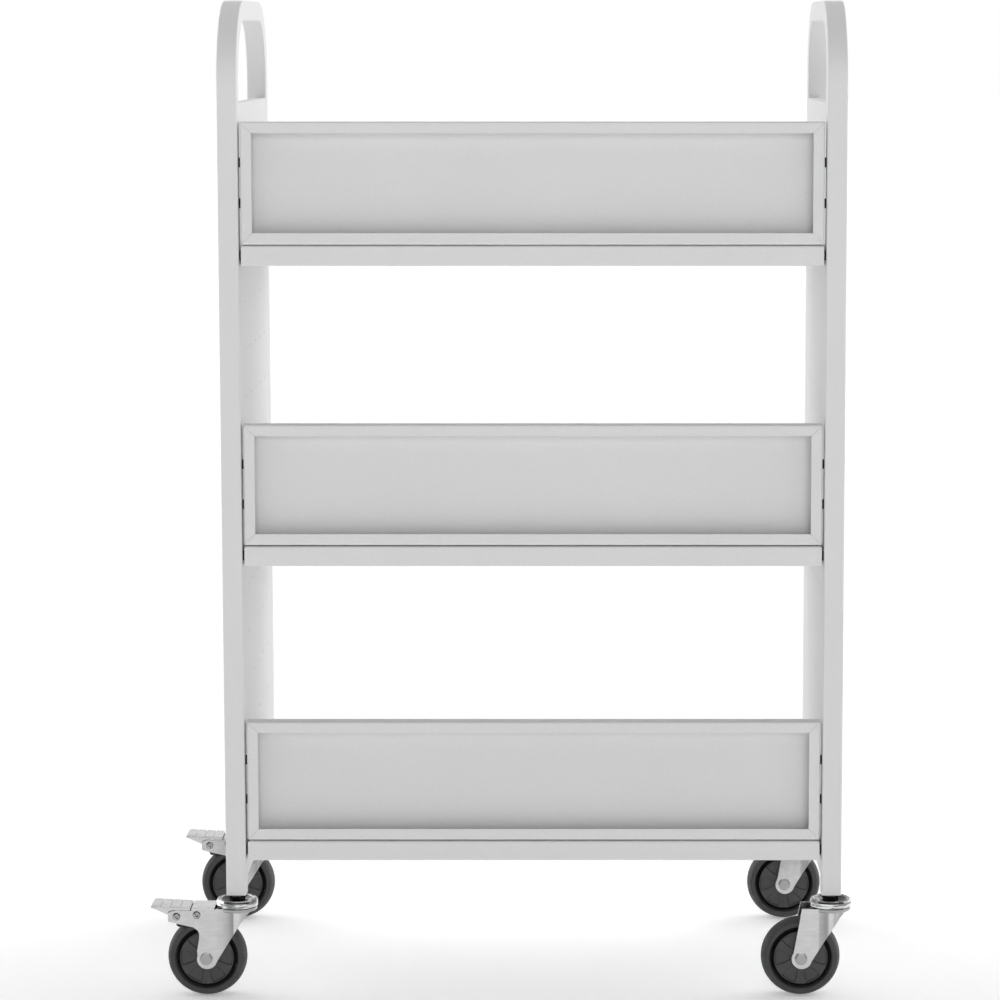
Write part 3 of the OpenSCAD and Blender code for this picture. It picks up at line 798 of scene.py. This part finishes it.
def spring_mesh(caster):
    """A wound wire on the second rivet with one leg out under the pedal."""
    wire, coil, half, turns, steps = 0.85 * MM, 4.05 * MM, 5.9 * MM, 7, 24
    x, z = rivet_axes(caster)[1]
    leg = [Vector((x - s * MM, -half, z + coil)) for s in (11.5, 8, 5, 2.5, 1)]
    path = []
    for i in range(turns * steps + 1):
        a = math.pi / 2 - 2 * math.pi * i / steps
        y = -half + 2 * half * i / (turns * steps)
        path.append(Vector((x + coil * math.cos(a), y, z + coil * math.sin(a))))
    shell = Shell()
    tube_along(shell, leg + path, wire)
    return shell.mesh("spring")


def fork_mesh(caster, finish):
    """The pressed fork, its cup under the race painted darker as shade and dark reflection."""
    def in_cup(c):
        return c.z > CUP_Z and CUP_R[0] < math.hypot(c.x - TRAIL, c.y) < CUP_R[1]

    mesh = cad_mesh(f"{caster}_fork", wheel_centre(caster))
    return two_finishes(mesh, finish, "shaded_copy_zinc", in_cup)


# the braked forks' plate carries painted shade and highlight bands
on_casters("fork", fork_mesh("rear_left", "braked_fork_shade_zinc"), "swivel", "zinc_plate", BRAKED,
           0.45 * MM)
# the plain forks' plate carries painted shade and highlight bands
on_casters("fork", fork_mesh("rear_right", "plain_fork_shade_zinc"), "swivel", "zinc_plate", PLAIN,
           0.45 * MM)
refined_casters("bearing_balls", "swivel", "zinc_plate")
# bolt and nut get the shaded copy of the plate: painted darker reflection
refined_casters("axle_bolt", "swivel", "zinc_plate", bevel=0.4 * MM, finish="shaded_copy_zinc")
refined_casters("axle_nut", "swivel", "zinc_plate", bevel=0.4 * MM, finish="shaded_copy_zinc")
refined_casters("axle_sleeve", "swivel", "zinc_plate", bevel=0.3 * MM)
refined_casters("brake_cover", "swivel", "zinc_plate", BRAKED, 0.5 * MM)
refined_casters("brake_pedal", "brake", "zinc_plate", BRAKED, 0.4 * MM)
refined_casters("brake_shoe", "brake", "black_nylon", BRAKED, 0.5 * MM)
on_casters("brake_rivets", rivets_mesh("rear_left"), "swivel", "zinc_plate", BRAKED)
on_casters("brake_spring", spring_mesh("rear_left"), "swivel", "zinc_plate", BRAKED)


# ---- Floor, light and camera ----

FLOOR_REACH = 60.0
CAMERA_FROM_SHELVES_X = 0.0724
CAMERA_Y = -4.364
CAMERA_Z = 1.21
CAMERA_TILT = 6.6               # degrees down from level


def floor():
    """A wide pale sheet of studio paper."""
    m = Nodes("floor_paper", "floor_paper", Specular_IOR_Level=0.1)
    m.colour(m.ramp(m.noise(30, 4), (0.90, 0.90, 0.90), (0.92, 0.92, 0.92)))
    m.roughness(m.spread(m.noise(80, 2), 0.85, 0.95))
    m.shader.inputs["Emission Color"].default_value = (1, 1, 1, 1)
    m.shader.inputs["Emission Strength"].default_value = 0.26
    mesh = bpy.data.meshes.new("floor")
    corners = [(x * FLOOR_REACH, y * FLOOR_REACH, 0)
               for x, y in ((-1, -1), (1, -1), (1, 1), (-1, 1))]
    mesh.from_pydata(corners, [], [(0, 1, 2, 3)])
    mesh.materials.append(m.material)
    obj = bpy.data.objects.new("floor", mesh)
    bpy.context.scene.collection.objects.link(obj)


def sun(name, direction, strength, angle, seen=True):
    """A broad soft light that shines from a direction, and may show in the metal's gloss."""
    light = bpy.data.lights.new(name, "SUN")
    light.energy = strength
    light.angle = math.radians(angle)
    obj = bpy.data.objects.new(name, light)
    obj.rotation_mode = "QUATERNION"
    obj.rotation_quaternion = Vector(direction).to_track_quat("Z", "Y")
    obj.visible_glossy = seen
    bpy.context.scene.collection.objects.link(obj)


def studio_world(front, back, wall):
    """A dim studio in front, a backdrop behind that is brightest low down, white to the camera."""
    world = bpy.data.worlds.new("studio")
    bpy.context.scene.world = world
    world.use_nodes = True
    tree = world.node_tree
    split = tree.nodes.new("ShaderNodeSeparateXYZ")
    tree.links.new(tree.nodes.new("ShaderNodeTexCoord").outputs["Generated"], split.inputs[0])

    def smooth(source, start, end, low, high):
        node = tree.nodes.new("ShaderNodeMapRange")
        node.interpolation_type = "SMOOTHSTEP"
        tree.links.new(source, node.inputs["Value"])
        for socket, value in (("From Min", start), ("From Max", end), ("To Min", low)):
            node.inputs[socket].default_value = value
        if isinstance(high, float):
            node.inputs["To Max"].default_value = high
        else:
            tree.links.new(high, node.inputs["To Max"])
        return node.outputs["Result"]

    backdrop = smooth(split.outputs["Z"], 0.30, 0.42, wall, back)
    level = smooth(split.outputs["Y"], 0.0, 0.5, front, backdrop)
    light = tree.nodes["Background"]
    light.inputs["Color"].default_value = (1, 1, 1, 1)
    tree.links.new(level, light.inputs["Strength"])
    white = tree.nodes.new("ShaderNodeBackground")
    white.inputs["Color"].default_value = (1, 1, 1, 1)
    seen = tree.nodes.new("ShaderNodeLightPath").outputs["Is Camera Ray"]
    mix = tree.nodes.new("ShaderNodeMixShader")
    tree.links.new(seen, mix.inputs["Fac"])
    tree.links.new(light.outputs["Background"], mix.inputs[1])
    tree.links.new(white.outputs["Background"], mix.inputs[2])
    tree.links.new(mix.outputs["Shader"], tree.nodes["World Output"].inputs["Surface"])


def camera():
    """A long lens a little above the push handles, tipped slightly down."""
    lo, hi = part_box("bottom_shelf")
    data = bpy.data.cameras.new("camera")
    data.lens = 121.7
    data.sensor_width = 36
    data.shift_x = -0.0912
    data.shift_y = -0.076
    data.clip_end = 200
    obj = bpy.data.objects.new("camera", data)
    obj.location = ((lo.x + hi.x) / 2 + CAMERA_FROM_SHELVES_X, CAMERA_Y, CAMERA_Z)
    obj.rotation_euler = (math.radians(90 - CAMERA_TILT), 0, 0)
    bpy.context.scene.collection.objects.link(obj)
    bpy.context.scene.camera = obj


floor()
sun("left", (-0.85, 0.5, 0.3), strength=1.65, angle=70)
sun("right", (0.85, 0.5, 0.3), strength=1.8, angle=70)
sun("front", (0.12, -1.0, 0.22), strength=0.84, angle=34)
sun("overhead", (0.1, 0.1, 1.0), strength=0.8, angle=90, seen=False)
studio_world(front=0.10, back=0.22, wall=0.95)
camera()
bpy.context.scene.view_settings.view_transform = "Standard"
